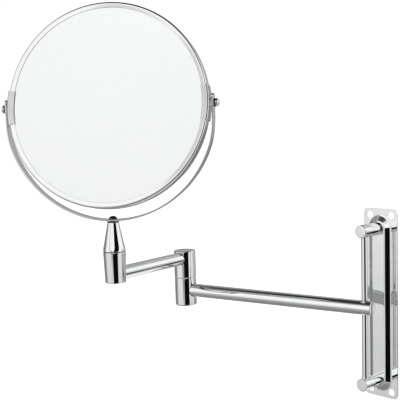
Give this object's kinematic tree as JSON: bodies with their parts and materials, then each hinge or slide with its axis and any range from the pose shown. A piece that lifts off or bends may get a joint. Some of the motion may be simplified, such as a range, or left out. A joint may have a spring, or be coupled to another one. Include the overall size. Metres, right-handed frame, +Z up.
{
  "type": "extendable shaving mirror",
  "caption": "Wall-mounted shaving mirror: a sliding, folding two-part arm carries a round two-sided mirror that turns and flips in a half-round yoke.",
  "frame": {"origin": "centre of the wall plate's four screw holes, on the wall plane at the plate's back", "axes": "+Z up, +Y into the wall, -Y out into the room towards the user, +X to the right as the user faces the wall"},
  "size_m": [0.2985, 0.2476, 0.3944],
  "materials": {
    "chrome": "polished chrome plate",
    "satin_chrome": "satin chrome plate",
    "dark_chrome": "polished black nickel plate",
    "steel": "plain zinc-plated steel",
    "nylon": "natural moulded nylon",
    "black_washer": "black moulded nylon",
    "silvered_glass": "silvered float glass",
    "core_board": "pressed fibre board"
  },
  "bodies": {
    "base": {"wall_plate": "chrome", "top_post": "chrome", "bottom_post": "chrome", "rail": "chrome", "top_post_screw": "steel", "bottom_post_screw": "steel", "top_lock_washer": "steel", "bottom_lock_washer": "steel"},
    "slider": {"rail_sleeve": "nylon"},
    "inner_arm": {"inner_arm_tube": "chrome", "inner_arm_plug": "chrome", "friction_pad": "nylon", "friction_spring": "steel", "spring_stop": "steel", "elbow_lower_barrel": "chrome", "elbow_pin": "steel", "elbow_washer": "nylon", "elbow_wave_washer": "steel", "elbow_nut": "steel"},
    "outer_arm": {"elbow_upper_barrel": "chrome", "elbow_cap": "chrome", "outer_arm_tube": "chrome", "post_socket": "chrome", "post_bottom_cap": "chrome"},
    "head": {"post_cone": "chrome", "swivel_spindle": "steel", "swivel_washer": "black_washer", "swivel_clip": "steel", "yoke_washer": "black_washer", "yoke": "chrome", "yoke_screw": "dark_chrome"},
    "mirror": {"rim": "chrome", "plain_glass": "silvered_glass", "magnifying_glass": "silvered_glass", "core_disc": "core_board", "left_clip": "satin_chrome", "right_clip": "satin_chrome", "left_pivot_screw": "chrome", "right_pivot_screw": "chrome", "left_head_washer": "black_washer", "right_head_washer": "black_washer", "left_spacer": "nylon", "right_spacer": "nylon"}
  },
  "joints": [
    {"name": "height_slide", "type": "slide", "parent": "base", "child": "slider", "axis": [0, 0, 1], "range_m": [-0.0617, 0.0603]},
    {"name": "wall_swing", "type": "hinge", "parent": "slider", "child": "inner_arm", "pos_m": [0, -0.0272, 0], "axis": [0, 0, 1], "range_deg": [-13, 167]},
    {"name": "elbow", "type": "hinge", "parent": "inner_arm", "child": "outer_arm", "pos_m": [-0.20286, -0.07404, 0], "axis": [0, 0, 1], "range_deg": [-239.7, 70.3]},
    {"name": "head_swivel", "type": "hinge", "parent": "outer_arm", "child": "head", "pos_m": [-0.18846, -0.18057, 0], "axis": [0, 0, 1], "continuous": true},
    {"name": "mirror_tilt", "type": "hinge", "parent": "head", "child": "mirror", "pos_m": [-0.18846, -0.18057, 0.2007], "axis": [0.8161, 0.5779, 0], "continuous": true}
  ]
}
